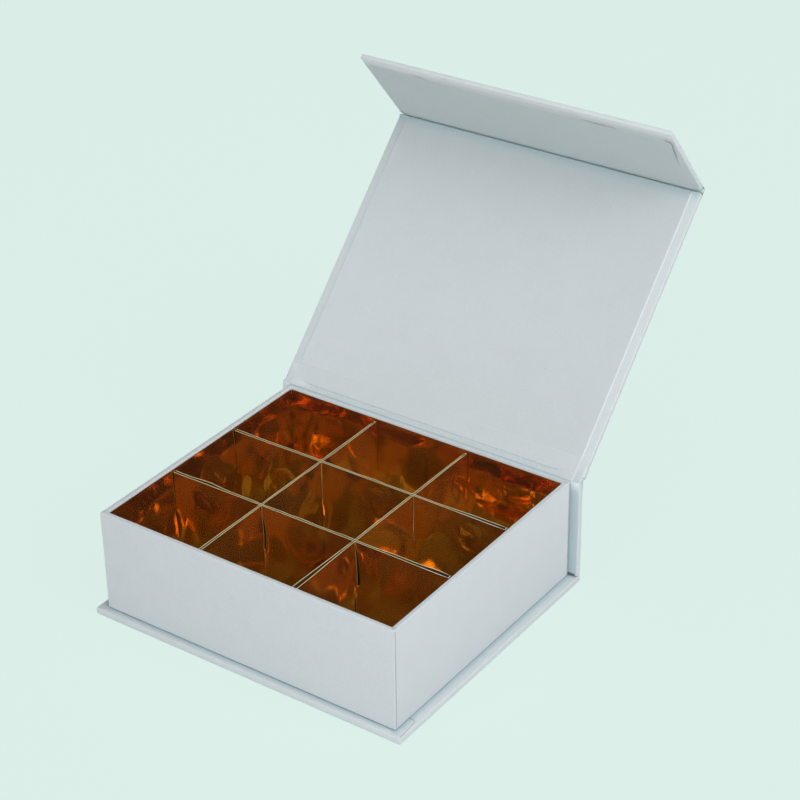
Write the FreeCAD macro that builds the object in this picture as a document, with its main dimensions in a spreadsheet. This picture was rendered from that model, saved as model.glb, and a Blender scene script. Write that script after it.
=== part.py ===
import FreeCAD, Part
import math
import os
import Sketcher

# Book-style rigid gift box: a paper-wrapped tray glued on the base of a four-panel case,
# with a magnetic front flap and a gold card insert of crossed dividers. Millimetres, +Z up.
# The origin is under the middle of the tray, on the underside of the base. +Y is the hinge side.
# The lid and the flap are drawn closed and then swung open to the angles of the photograph.

doc = FreeCAD.newDocument("chocolate_box")

# Driving dimensions
SIZES = {
    # tray
    "tray_width": 120.0,
    "tray_depth": 104.2,
    "tray_height": 38.6,
    "tray_board": 1.4,
    "tray_turn_in": 13.0,
    "tray_turn_under": 12.0,
    # papers and glue
    "paper": 0.15,
    "liner_paper": 0.12,
    "glue_line": 0.08,
    "tape": 0.06,
    "tape_leg": 12.0,
    "edge_radius": 0.35,
    # case panels
    "base_board": 2.2,
    "spine_board": 2.0,
    "lid_board": 1.6,
    "flap_board": 1.6,
    "side_ledge": 3.5,
    "front_ledge": 2.5,
    "case_turn_in": 13.0,
    "liner_inset": 4.8,
    "flap_liner_inset": 2.0,
    "spine_groove": 0.6,
    # hinges and closing clearances
    "hinge_back": 0.1,
    "hinge_rise": 0.75,
    "hinge_end_gap": 0.2,
    "hinge_strip_drop": 3.4,
    "lid_bend_radius": 3.0,
    "flap_bend_radius": 0.8,
    "lid_clearance": 0.3,
    "flap_clearance": 1.0,
    "ledge_clearance": 0.3,
    "fold_gap": 0.15,
    "lid_open": 134.0,
    "flap_spread": 6.3,
    # magnetic closure
    "magnet_diameter": 10.0,
    "magnet_thickness": 1.4,
    "disc_thickness": 1.0,
    "magnet_fit": 0.1,
    "magnet_inset": 24.0,
    "magnet_height": 14.0,
    # gold card insert
    "card": 0.35,
    "ply_gap": 0.3,
    "insert_clearance": 0.2,
    "insert_drop": 0.7,
    "corner_slit": 0.1,
    "divider_drop": 1.2,
    "fold_radius": 0.45,
    "open_end_gap": 0.4,
    "fold_end_gap": 1.0,
    "slot_clearance": 0.1,
}

dims = doc.addObject("Spreadsheet::Sheet", "dims")
for row, (alias, size) in enumerate(SIZES.items(), start=1):
    dims.set(f"A{row}", str(size))
    dims.setAlias(f"A{row}", alias)
doc.recompute()

CUT_OVERRUN = "1"


def value(expression):
    """The number that an expression of the sheet gives."""
    return float(dims.evalExpression(expression))


# Places worked out from the driving dimensions
base_top = "(dims.base_board + 2 * dims.paper)"
rim = f"({base_top} + dims.tray_height)"
half_case = "(dims.tray_width / 2 + dims.side_ledge)"
tray_front = "(-dims.tray_depth / 2)"
tray_back = "(dims.tray_depth / 2)"
base_front = f"({tray_front} - dims.front_ledge)"
spine_inner = f"({tray_back} + dims.liner_paper)"
spine_outer = f"({spine_inner} + dims.spine_board + 2 * dims.paper)"
spine_bottom = f"({base_top} + dims.spine_groove)"
spine_top = f"({rim} - dims.liner_paper)"
strip_start = f"({rim} - dims.hinge_strip_drop)"

skin = "(dims.paper + dims.glue_line)"
boards_width = f"(dims.tray_width - 2 * {skin})"
boards_depth = f"(dims.tray_depth - 2 * {skin})"
boards_bottom = f"({base_top} + {skin})"
boards_top = f"({rim} - {skin})"
floor_top = f"({boards_bottom} + dims.tray_board)"
opening_width = f"({boards_width} - 2 * (dims.tray_board + {skin}))"
opening_depth = f"({boards_depth} - 2 * (dims.tray_board + {skin}))"

lid_hinge = (f"({spine_outer} + dims.hinge_back)", f"({rim} + dims.hinge_rise)")
lid_liner_face = f"({rim} + dims.lid_clearance)"
lid_inner = f"({lid_liner_face} + dims.liner_paper)"
lid_outer = f"({lid_inner} + dims.lid_board + 2 * dims.paper)"
lid_back_end = f"({lid_hinge[0]} - dims.hinge_end_gap)"
flap_liner_face = f"({tray_front} - dims.flap_clearance)"
lid_front_end = f"({flap_liner_face} + dims.fold_gap)"
flap_inner = f"({flap_liner_face} - dims.liner_paper)"
flap_outer = f"({flap_inner} - dims.flap_board - 2 * dims.paper)"
flap_top_end = f"({lid_liner_face} - dims.fold_gap)"
flap_edge = f"({base_top} + dims.ledge_clearance)"
flap_hinge = (f"({flap_outer} + dims.paper / 2)", f"({lid_outer} - dims.paper / 2)")
magnet_z = f"({base_top} + dims.magnet_height)"

lid_angle = "(-dims.lid_open * 1 deg)"
flap_angle = "(-dims.flap_spread * 1 deg)"


def turned(point, centre, angle):
    """Where a point (y, z) goes when it turns about an axis along X through centre."""
    across = f"({point[0]} - {centre[0]})"
    up = f"({point[1]} - {centre[1]})"
    return (
        f"({centre[0]} + {across} * cos({angle}) - {up} * sin({angle}))",
        f"({centre[1]} + {across} * sin({angle}) + {up} * cos({angle}))",
    )


def place(piece, angle, origin):
    """Turn a piece about X by an angle and carry its origin to (y, z)."""
    for axis, share in zip("xyz", "100"):
        piece.setExpression(f"Placement.Rotation.Axis.{axis}", share)
    piece.setExpression("Placement.Rotation.Angle", angle)
    piece.setExpression("Placement.Base.y", origin[0])
    piece.setExpression("Placement.Base.z", origin[1])


def standing(piece, corner=("0", "0"), own_turn="0 deg"):
    """Leave a piece where it is drawn, its own corner at (y, z)."""
    place(piece, own_turn, corner)


def with_lid(piece, corner=("0", "0"), own_turn="0 deg"):
    """Swing a piece that is drawn closed to where the open lid carries it."""
    place(piece, f"{lid_angle} + {own_turn}", turned(corner, lid_hinge, lid_angle))


def with_flap(piece, corner=("0", "0"), own_turn="0 deg"):
    """Swing a piece that is drawn closed to where the flap of the open lid carries it."""
    folded = turned(corner, flap_hinge, flap_angle)
    place(piece, f"{lid_angle} + {flap_angle} + {own_turn}", turned(folded, lid_hinge, lid_angle))


def box(name, x, y, z, moves=standing):
    """A block between two expressions along each axis."""
    block = doc.addObject("Part::Box", name)
    for side, (low, high) in zip(("Length", "Width", "Height"), (x, y, z)):
        block.setExpression(side, f"{high} - {low}")
    block.setExpression("Placement.Base.x", x[0])
    moves(block, (y[0], z[0]))
    return block


def centred(width):
    """The two ends of a width that is centred on the origin."""
    return f"(-{width} / 2)", f"({width} / 2)"


def cut(name, base, tool):
    result = doc.addObject("Part::Cut", name)
    result.Base = base
    result.Tool = tool
    return result


def fuse(name, pieces):
    result = doc.addObject("Part::MultiFuse", name)
    result.Shapes = pieces
    return result


def disc(name, x, y, z, radius, length, moves=standing):
    """A round disc with its axis along Y, from y towards -Y."""
    cylinder = doc.addObject("Part::Cylinder", name)
    cylinder.setExpression("Radius", radius)
    cylinder.setExpression("Height", length)
    cylinder.setExpression("Placement.Base.x", x)
    moves(cylinder, (y, z), "90 deg")
    return cylinder


def sketch(body, name, plane, outlines, offset):
    """A sketch of closed polygons on one of the body's planes, each corner held by two expressions."""
    drawing = body.newObject("Sketcher::SketchObject", name)
    support = [feature for feature in body.Origin.OriginFeatures if feature.Role == plane][0]
    drawing.AttachmentSupport = (support, [""])
    drawing.MapMode = "FlatFace"
    drawing.setExpression("AttachmentOffset.Base.z", offset)
    for outline in outlines:
        corners = [FreeCAD.Vector(value(x), value(y), 0) for x, y in outline]
        first = drawing.GeometryCount
        count = len(corners)
        for index in range(count):
            drawing.addGeometry(Part.LineSegment(corners[index], corners[(index + 1) % count]))
        for index in range(count):
            following = first + (index + 1) % count
            drawing.addConstraint(Sketcher.Constraint("Coincident", first + index, 2, following, 1))
        for index, (x, y) in enumerate(outline):
            for kind, expression in (("DistanceX", x), ("DistanceY", y)):
                rule = Sketcher.Constraint(kind, first + index, 1, value(expression))
                number = drawing.addConstraint(rule)
                drawing.setExpression(f"Constraints[{number}]", expression)
    return drawing


def rectangle(x, y):
    return [(x[0], y[0]), (x[1], y[0]), (x[1], y[1]), (x[0], y[1])]


def pad(body, name, plane, outlines, offset, length):
    feature = body.newObject("PartDesign::Pad", name)
    feature.Profile = sketch(body, f"{name}_sketch", plane, outlines, offset)
    feature.setExpression("Length", length)
    doc.recompute()
    return feature


def pocket(body, name, plane, outlines, offset, length=None, symmetric=False):
    """A pocket that has to take material away, through everything where it has no length."""
    before = body.Shape.Volume
    feature = body.newObject("PartDesign::Pocket", name)
    feature.Profile = sketch(body, f"{name}_sketch", plane, outlines, offset)
    if symmetric:
        feature.SideType = "Symmetric"
    if length is None:
        feature.Type = "ThroughAll"
    else:
        feature.setExpression("Length", length)
    doc.recompute()
    if body.Shape.Volume >= before:
        raise RuntimeError(f"{name} cuts nothing")
    return feature


def outer_edges(shape, open_planes):
    """Names of the edges that lie on the outer box of a shape, without those in its open ends."""
    limits = shape.BoundBox
    sides = {
        "x-": (0, limits.XMin), "x+": (0, limits.XMax),
        "y-": (1, limits.YMin), "y+": (1, limits.YMax),
        "z-": (2, limits.ZMin), "z+": (2, limits.ZMax),
    }
    names = []
    for number, edge in enumerate(shape.Edges, start=1):
        ends = [vertex.Point for vertex in edge.Vertexes]
        on = [name for name, (axis, level) in sides.items() if all(abs(p[axis] - level) < 1e-6 for p in ends)]
        if len(on) >= 2 and not any(name in open_planes for name in on):
            names.append(f"Edge{number}")
    return names


def round_edges(body, name, edge_names, radius):
    base = body.Tip
    feature = body.newObject("PartDesign::Fillet", name)
    feature.Base = (base, edge_names)
    feature.setExpression("Radius", radius)
    doc.recompute()
    return feature


def channel(inner, outer, rises):
    """Section of paper wrapped round a panel: outer sheet, two edges and two turned-in margins."""
    sign = "+" if rises else "-"
    back = "-" if rises else "+"
    sheet_face = f"({outer} {back} dims.paper)"
    margin_face = f"({inner} {sign} dims.paper)"
    half = half_case
    margin = f"({half} - dims.case_turn_in)"
    edge = f"({half} - dims.paper)"
    right = [(half, outer), (half, inner), (margin, inner), (margin, margin_face), (edge, margin_face)]
    right.append((edge, sheet_face))
    left = [(f"(-{x})", y) for x, y in reversed(right)]
    return right + left


# Case base: a board panel under the tray, wrapped in paper that is turned in on top at three sides
# and goes on up the spine at the back.
base_board = box(
    "base_board",
    (f"(-{half_case} + dims.paper)", f"({half_case} - dims.paper)"),
    (f"({base_front} + dims.paper)", f"({spine_outer} - dims.paper)"),
    ("dims.paper", f"({base_top} - dims.paper)"),
)

across_case = (f"(-{half_case})", half_case)
base_wrap = doc.addObject("PartDesign::Body", "base_wrap")
pad(base_wrap, "base_channel", "XZ_Plane", [channel(base_top, "0", False)], f"-{spine_outer}",
    f"{spine_outer} - {base_front}")
base_end = rectangle(across_case, ("0", base_top))
pad(base_wrap, "base_front_edge", "XZ_Plane", [base_end], f"-({base_front} + dims.paper)", "dims.paper")
pad(base_wrap, "base_back_edge", "XZ_Plane", [base_end], f"-{spine_outer}", "dims.paper")
base_margin = rectangle(across_case, (f"({base_top} - dims.paper)", base_top))
pad(base_wrap, "base_front_margin", "XZ_Plane", [base_margin], f"-({base_front} + dims.case_turn_in)",
    "dims.case_turn_in")
round_edges(base_wrap, "base_soft_edges", outer_edges(base_wrap.Shape, ["y+"]), "dims.edge_radius")

# Case spine: a narrow board panel behind the tray, its paper and the strip of lining on its inside.
spine_board = box(
    "spine_board",
    (f"(-{half_case} + dims.paper)", f"({half_case} - dims.paper)"),
    (f"({spine_inner} + dims.paper)", f"({spine_outer} - dims.paper)"),
    (spine_bottom, spine_top),
)

spine_wrap = doc.addObject("PartDesign::Body", "spine_wrap")
pad(spine_wrap, "spine_channel", "XY_Plane", [channel(spine_inner, spine_outer, True)], base_top,
    f"{spine_top} - {base_top}")
beyond_case = (f"(-{half_case} - {CUT_OVERRUN})", f"({half_case} + {CUT_OVERRUN})")
hinge_window = rectangle(beyond_case, (f"({spine_outer} - dims.paper)", f"({spine_outer} + {CUT_OVERRUN})"))
pocket(spine_wrap, "spine_hinge_window", "XY_Plane", [hinge_window], spine_top, f"{spine_top} - {strip_start}")

liner_half = f"({half_case} - dims.liner_inset)"
across_liner = (f"(-{liner_half})", liner_half)
spine_liner = fuse("spine_liner", [
    box("spine_liner_face", across_liner, (tray_back, spine_inner), (spine_bottom, rim)),
    box("spine_liner_top", across_liner, (tray_back, f"({spine_outer} - dims.paper)"), (spine_top, rim)),
])

# Case lid: board, paper turned in at the two sides, and the lining sheet of its inside.
lid_board = box(
    "lid_board",
    (f"(-{half_case} + dims.paper)", f"({half_case} - dims.paper)"),
    (lid_front_end, lid_back_end),
    (f"({lid_inner} + dims.paper)", f"({lid_outer} - dims.paper)"),
    with_lid,
)
lid_wrap = doc.addObject("PartDesign::Body", "lid_wrap")
pad(lid_wrap, "lid_channel", "XZ_Plane", [channel(lid_inner, lid_outer, True)], f"-{lid_back_end}",
    f"{lid_back_end} - {lid_front_end}")
round_edges(lid_wrap, "lid_soft_edges", outer_edges(lid_wrap.Shape, ["y-", "y+"]), "dims.edge_radius")
with_lid(lid_wrap)
lid_liner = box("lid_liner", across_liner, (lid_front_end, lid_back_end), (lid_liner_face, lid_inner), with_lid)

# Case flap: board punched for two magnets, paper turned in at three sides, lining sheet and magnets.
flap_panel = box(
    "flap_panel",
    (f"(-{half_case} + dims.paper)", f"({half_case} - dims.paper)"),
    (f"({flap_outer} + dims.paper)", f"({flap_inner} - dims.paper)"),
    (f"({flap_edge} + dims.paper)", flap_top_end),
)
SIDES = (("left", "-"), ("right", ""))
magnet_reach = "(dims.tray_width / 2 - dims.magnet_inset)"
hole_radius = "(dims.magnet_diameter / 2 + dims.magnet_fit)"
flap_board_face = f"({flap_inner} - dims.paper)"
flap_holes = []
flap_magnets = []
for side, sign in SIDES:
    magnet_x = f"({sign}{magnet_reach})"
    flap_holes.append(disc(f"flap_hole_{side}", magnet_x, flap_board_face, magnet_z,
                           hole_radius, "dims.flap_board"))
    flap_magnets.append(disc(f"flap_magnet_{side}", magnet_x, flap_board_face, magnet_z,
                             "dims.magnet_diameter / 2", "dims.magnet_thickness", with_flap))
flap_board = cut("flap_board", flap_panel, fuse("flap_holes", flap_holes))
with_flap(flap_board)

flap_wrap = doc.addObject("PartDesign::Body", "flap_wrap")
pad(flap_wrap, "flap_channel", "XY_Plane", [channel(flap_inner, flap_outer, False)], flap_edge,
    f"{flap_top_end} - {flap_edge}")
flap_end = rectangle(across_case, (flap_outer, flap_inner))
pad(flap_wrap, "flap_free_edge", "XY_Plane", [flap_end], flap_edge, "dims.paper")
flap_margin = rectangle(across_case, (f"({flap_inner} - dims.paper)", flap_inner))
pad(flap_wrap, "flap_free_margin", "XY_Plane", [flap_margin], flap_edge, "dims.case_turn_in")
round_edges(flap_wrap, "flap_soft_edges", outer_edges(flap_wrap.Shape, ["z+"]), "dims.edge_radius")
with_flap(flap_wrap)
flap_liner = box(
    "flap_liner",
    across_liner,
    (flap_inner, flap_liner_face),
    (f"({flap_edge} + dims.flap_liner_inset)", flap_top_end),
    with_flap,
)


# Paper hinges: strips of the case paper bent from one panel's plane into the next one's.
def bent_strip(name, corner, arrives, leaves, before, after, radius):
    """A strip across the case, of two flat runs joined by an arc, drawn in the Y-Z plane."""
    thickness = value("dims.paper")
    half = value(half_case)
    corner = FreeCAD.Vector(-half, *corner)
    arrives = FreeCAD.Vector(0, *arrives)
    leaves = FreeCAD.Vector(0, *leaves)
    turn = arrives.getAngle(leaves)
    tangent = radius * math.tan(turn / 2)
    inward = (leaves - arrives * math.cos(turn)).normalize()
    inward_after = (leaves * math.cos(turn) - arrives).normalize()
    centre = corner - arrives * tangent + inward * radius
    to_middle = (corner - centre).normalize()
    sides = []
    for shift in (thickness / 2, -thickness / 2):
        start = corner - arrives * before + inward * shift
        arc_start = corner - arrives * tangent + inward * shift
        arc_middle = centre + to_middle * (radius - shift)
        arc_end = corner + leaves * tangent + inward_after * shift
        end = corner + leaves * after + inward_after * shift
        run = [
            Part.LineSegment(start, arc_start).toShape(),
            Part.Arc(arc_start, arc_middle, arc_end).toShape(),
            Part.LineSegment(arc_end, end).toShape(),
        ]
        sides.append((start, end, run))
    (start_a, end_a, run_a), (start_b, end_b, run_b) = sides
    caps = [Part.LineSegment(start_a, start_b).toShape(), Part.LineSegment(end_a, end_b).toShape()]
    wire = Part.Wire(Part.__sortEdges__(run_a + run_b + caps))
    strip = doc.addObject("Part::Feature", name)
    strip.Shape = Part.Face(wire).extrude(FreeCAD.Vector(2 * half, 0, 0))
    return strip


def point_value(point):
    return value(point[0]), value(point[1])


def direction(degrees):
    return math.cos(math.radians(degrees)), math.sin(math.radians(degrees))


# The spine's outer sheet runs up, the lid's runs on along the lid. Their middle lines cross at the bend.
hinge_y, hinge_z = point_value(lid_hinge)
lid_rise = 180 - value("dims.lid_open")
lid_along = direction(lid_rise)
lid_square = direction(lid_rise - 90)
sheet_offset = value(f"({lid_outer} - dims.paper / 2 - {lid_hinge[1]})")
spine_sheet = value(f"({spine_outer} - dims.paper / 2)")
reach = (spine_sheet - hinge_y - lid_square[0] * sheet_offset) / lid_along[0]
bend_z = hinge_z + lid_square[1] * sheet_offset + lid_along[1] * reach
lid_hinge_strip = bent_strip(
    "lid_hinge_strip",
    (spine_sheet, bend_z),
    (0, 1),
    lid_along,
    bend_z - value(strip_start),
    value("dims.hinge_end_gap") - reach,
    value("dims.lid_bend_radius"),
)

# The lid's outer sheet and the flap's meet at the flap hinge.
flap_fall = lid_rise + 90 - value("dims.flap_spread")
flap_hinge_open = turned(flap_hinge, lid_hinge, lid_angle)
flap_hinge_strip = bent_strip(
    "flap_hinge_strip",
    point_value(flap_hinge_open),
    lid_along,
    direction(flap_fall),
    value(f"({lid_front_end} - {flap_hinge[0]})"),
    value(f"({flap_hinge[1]} - {flap_top_end})"),
    value("dims.flap_bend_radius"),
)

# Tray boards: a floor panel with four walls standing on it, the front one punched for two steel discs.
tray_floor = box("tray_floor", centred(boards_width), centred(boards_depth), (boards_bottom, floor_top))
wall_height = (floor_top, boards_top)
front_face = f"(-{boards_depth} / 2)"
back_face = f"({boards_depth} / 2)"
front_panel = box(
    "front_panel", centred(boards_width), (front_face, f"({front_face} + dims.tray_board)"), wall_height
)
disc_holes = []
closure_discs = []
for side, sign in SIDES:
    disc_x = f"({sign}{magnet_reach})"
    hole_end = f"({front_face} + dims.tray_board)"
    disc_end = f"({front_face} + dims.disc_thickness)"
    disc_holes.append(disc(f"disc_hole_{side}", disc_x, hole_end, magnet_z, hole_radius, "dims.tray_board"))
    closure_discs.append(disc(f"closure_disc_{side}", disc_x, disc_end, magnet_z,
                              "dims.magnet_diameter / 2", "dims.disc_thickness"))
tray_front_wall = cut("tray_front_wall", front_panel, fuse("disc_holes", disc_holes))
tray_back_wall = box(
    "tray_back_wall", centred(boards_width), (f"({back_face} - dims.tray_board)", back_face), wall_height
)
side_wall_depth = centred(f"({boards_depth} - 2 * dims.tray_board)")
side_face = f"({boards_width} / 2)"
side_inner = f"({side_face} - dims.tray_board)"
tray_left_wall = box("tray_left_wall", (f"(-{side_face})", f"(-{side_inner})"), side_wall_depth, wall_height)
tray_right_wall = box("tray_right_wall", (side_inner, side_face), side_wall_depth, wall_height)

# Corner tapes: four gummed strips round the outside of the tray's corners, under the paper.
taped_width = f"({boards_width} + 2 * dims.tape)"
taped_depth = f"({boards_depth} + 2 * dims.tape)"
tape_sleeve = cut(
    "tape_sleeve",
    box("tape_outside", centred(taped_width), centred(taped_depth), wall_height),
    box("tape_inside", centred(boards_width), centred(boards_depth), wall_height),
)
tape_gaps = fuse("tape_gaps", [
    box("tape_gap_sides", centred(taped_width), centred(f"({taped_depth} - 2 * dims.tape_leg)"), wall_height),
    box("tape_gap_ends", centred(f"({taped_width} - 2 * dims.tape_leg)"), centred(taped_depth), wall_height),
])
corner_tapes = cut("corner_tapes", tape_sleeve, tape_gaps)

# Tray paper: outside sheet, turned over the rim and down inside, and turned under the floor.
tray_wrap = doc.addObject("PartDesign::Body", "tray_wrap")


def ring(outer, inner):
    return [rectangle(centred(outer[0]), centred(outer[1])), rectangle(centred(inner[0]), centred(inner[1]))]


tray_outside = ("dims.tray_width", "dims.tray_depth")
tray_opening = (opening_width, opening_depth)
under_opening = tuple(f"({side} - 2 * dims.tray_turn_under)" for side in tray_outside)
inside_of_sheet = tuple(f"({side} - 2 * dims.paper)" for side in tray_outside)
behind_turn_in = tuple(f"({side} + 2 * dims.paper)" for side in tray_opening)
pad(tray_wrap, "tray_outer_sheet", "XY_Plane", ring(tray_outside, inside_of_sheet), base_top,
    "dims.tray_height")
pad(tray_wrap, "tray_turned_under", "XY_Plane", ring(tray_outside, under_opening), base_top, "dims.paper")
pad(tray_wrap, "tray_rim", "XY_Plane", ring(tray_outside, tray_opening), f"({rim} - dims.paper)", "dims.paper")
pad(tray_wrap, "tray_turned_in", "XY_Plane", ring(behind_turn_in, tray_opening), f"({rim} - dims.tray_turn_in)",
    "dims.tray_turn_in")
round_edges(tray_wrap, "tray_soft_edges", outer_edges(tray_wrap.Shape, ["z-"]), "dims.edge_radius")

# Insert lining: gold card folded up from the floor at four sides, with open slits at the corners.
lining_width = f"({opening_width} - 2 * dims.insert_clearance)"
lining_depth = f"({opening_depth} - 2 * dims.insert_clearance)"
lining_top = f"({rim} - dims.insert_drop)"
lining_height = (floor_top, lining_top)
lining_front = f"(-{lining_depth} / 2)"
lining_back = f"({lining_depth} / 2)"
lining_side = f"({lining_width} / 2)"
lining_side_span = centred(f"({lining_depth} - 2 * (dims.card + dims.corner_slit))")
insert_lining = fuse("insert_lining", [
    box("lining_floor", centred(lining_width), centred(lining_depth),
        (floor_top, f"({floor_top} + dims.card)")),
    box("lining_front", centred(lining_width), (lining_front, f"({lining_front} + dims.card)"), lining_height),
    box("lining_back", centred(lining_width), (f"({lining_back} - dims.card)", lining_back), lining_height),
    box("lining_left", (f"(-{lining_side})", f"(-{lining_side} + dims.card)"), lining_side_span, lining_height),
    box("lining_right", (f"({lining_side} - dims.card)", lining_side), lining_side_span, lining_height),
])

# Dividers: strips of the same card folded double at one end, halved into each other where they cross.
clear_width = f"({lining_width} - 2 * dims.card)"
clear_depth = f"({lining_depth} - 2 * dims.card)"
divider_thickness = "(2 * dims.card + dims.ply_gap)"
divider_bottom = f"({floor_top} + dims.card)"
divider_top = f"({rim} - dims.divider_drop)"
divider_middle = f"(({divider_bottom} + {divider_top}) / 2)"
cross_place = f"(({clear_width} + {divider_thickness}) / 6)"
long_place = f"(({clear_depth} + {divider_thickness}) / 6)"


def divider(name, clear_length, slot_place, slots_from_below):
    """A folded strip drawn along X, its fold at +X, with two slots to half its height."""
    body = doc.addObject("PartDesign::Body", name)
    start = f"(-{clear_length} / 2 + dims.open_end_gap)"
    end = f"({clear_length} / 2 - dims.fold_end_gap)"
    strip = rectangle((start, end), centred(divider_thickness))
    pad(body, f"{name}_plies", "XY_Plane", [strip], divider_bottom, f"{divider_top} - {divider_bottom}")
    fold_edges = []
    for number, edge in enumerate(body.Shape.Edges, start=1):
        upright = edge.BoundBox.ZLength > max(edge.BoundBox.XLength, edge.BoundBox.YLength)
        if upright and edge.BoundBox.XMin > 0:
            fold_edges.append(f"Edge{number}")
    round_edges(body, f"{name}_fold", fold_edges, "dims.fold_radius")
    between = rectangle((f"({start} - {CUT_OVERRUN})", f"({end} - dims.card)"), centred("dims.ply_gap"))
    pocket(body, f"{name}_between_plies", "XY_Plane", [between], divider_top)
    half_slot = f"({divider_thickness} / 2 + dims.slot_clearance)"
    if slots_from_below:
        height = (f"({divider_bottom} - {CUT_OVERRUN})", f"({divider_middle} + dims.slot_clearance / 2)")
    else:
        height = (f"({divider_middle} - dims.slot_clearance / 2)", f"({divider_top} + {CUT_OVERRUN})")
    slots = []
    for sign in ("-", ""):
        middle = f"({sign}{slot_place})"
        slots.append(rectangle((f"({middle} - {half_slot})", f"({middle} + {half_slot})"), height))
    pocket(body, f"{name}_slots", "XZ_Plane", slots, "0", symmetric=True)
    return body


dividers = []
for row, sign in (("front", "-"), ("rear", "")):
    long_divider = divider(f"long_divider_{row}", clear_width, cross_place, True)
    long_divider.setExpression("Placement.Base.y", f"{sign}{long_place}")
    dividers.append(long_divider)
for side, sign in SIDES:
    cross_divider = divider(f"cross_divider_{side}", clear_depth, long_place, False)
    cross_divider.Placement = FreeCAD.Placement(FreeCAD.Vector(), FreeCAD.Rotation(FreeCAD.Vector(0, 0, 1), 90))
    cross_divider.setExpression("Placement.Base.x", f"{sign}{cross_place}")
    dividers.append(cross_divider)

nodes = [
    base_board, base_wrap, spine_board, spine_wrap, spine_liner,
    lid_board, lid_wrap, lid_liner, lid_hinge_strip,
    flap_board, flap_wrap, flap_liner, flap_hinge_strip,
    tray_floor, tray_front_wall, tray_back_wall, tray_left_wall, tray_right_wall,
    corner_tapes, tray_wrap, insert_lining,
]
nodes += flap_magnets + closure_discs + dividers

doc.recompute()
for item in doc.Objects:
    if "Invalid" in item.State or "Error" in item.State:
        raise RuntimeError(f"{item.Name} failed: {item.State}")
for node in nodes:
    if node.Shape.isNull() or not node.Shape.isValid():
        raise RuntimeError(f"{node.Label} has no valid shape")

os.makedirs("parts", exist_ok=True)
for node in nodes:
    node.Shape.exportStep(f"parts/{node.Label}.step")

print("lid hinge at", point_value(lid_hinge))
print("flap hinge at", point_value(flap_hinge_open))
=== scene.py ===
import math
import bpy
from mathutils import Matrix, Vector, noise


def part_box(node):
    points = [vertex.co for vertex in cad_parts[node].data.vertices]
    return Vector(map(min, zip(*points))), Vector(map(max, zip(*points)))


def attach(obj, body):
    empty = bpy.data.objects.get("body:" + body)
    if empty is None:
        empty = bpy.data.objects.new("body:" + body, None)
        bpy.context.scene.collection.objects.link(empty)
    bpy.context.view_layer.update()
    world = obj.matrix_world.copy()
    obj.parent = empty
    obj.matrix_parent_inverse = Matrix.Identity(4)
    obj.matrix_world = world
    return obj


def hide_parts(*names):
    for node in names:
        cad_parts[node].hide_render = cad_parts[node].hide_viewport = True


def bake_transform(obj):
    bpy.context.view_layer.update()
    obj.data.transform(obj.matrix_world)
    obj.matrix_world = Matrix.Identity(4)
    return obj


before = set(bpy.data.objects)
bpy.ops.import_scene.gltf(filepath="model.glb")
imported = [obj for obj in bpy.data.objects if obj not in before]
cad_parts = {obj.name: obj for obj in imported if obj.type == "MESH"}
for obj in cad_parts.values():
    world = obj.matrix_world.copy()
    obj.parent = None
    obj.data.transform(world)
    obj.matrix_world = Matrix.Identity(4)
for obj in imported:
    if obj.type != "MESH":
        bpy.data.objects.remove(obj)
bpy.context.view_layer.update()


# Boards: every panel of the case and the tray is raw grey binder's board, sawn square.
# They lie under the paper and show only where a wrap is open, so the solids stay as they are.
def new_material(name):
    """A material with its node tree, its shader and the socket of the object's own coordinates."""
    material = bpy.data.materials.new(name)
    material.use_nodes = True
    tree = material.node_tree
    place = tree.nodes.new("ShaderNodeTexCoord").outputs["Object"]
    return material, tree, tree.nodes["Principled BSDF"], place


def cloudy(tree, place, scale, detail):
    """Noise over a place, as a value from 0 to 1."""
    clouds = tree.nodes.new("ShaderNodeTexNoise")
    clouds.inputs["Scale"].default_value = scale
    clouds.inputs["Detail"].default_value = detail
    tree.links.new(place, clouds.inputs["Vector"])
    return clouds.outputs["Fac"]


def two_toned(tree, value, start, dark, end, light):
    """A colour that runs from dark to light as a value goes from start to end."""
    tones = tree.nodes.new("ShaderNodeValToRGB")
    for stop, position, colour in zip(tones.color_ramp.elements, (start, end), (dark, light)):
        stop.position = position
        stop.color = (*colour, 1)
    tree.links.new(value, tones.inputs["Fac"])
    return tones.outputs["Color"]


def raised(tree, value, strength, distance):
    """A bump that follows a value, its distance in metres."""
    bump = tree.nodes.new("ShaderNodeBump")
    bump.inputs["Strength"].default_value = strength
    bump.inputs["Distance"].default_value = distance
    tree.links.new(value, bump.inputs["Height"])
    return bump.outputs["Normal"]


def coat(stock, names):
    """Give solids of the frame a material instead of the one they came with."""
    for name in names:
        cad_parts[name].data.materials.clear()
        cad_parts[name].data.materials.append(stock)


greyboard, tree, shader, place = new_material("raw_greyboard")
fibres = cloudy(tree, place, 900, 6)
tones = two_toned(tree, fibres, 0.3, (0.20, 0.185, 0.165), 0.75, (0.36, 0.335, 0.30))
tree.links.new(tones, shader.inputs["Base Color"])
tree.links.new(raised(tree, fibres, 0.4, 0.0002), shader.inputs["Normal"])
shader.inputs["Roughness"].default_value = 0.9
coat(greyboard, ("base_board", "spine_board", "lid_board", "flap_board", "tray_floor", "tray_front_wall",
                 "tray_back_wall", "tray_left_wall", "tray_right_wall"))

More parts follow.
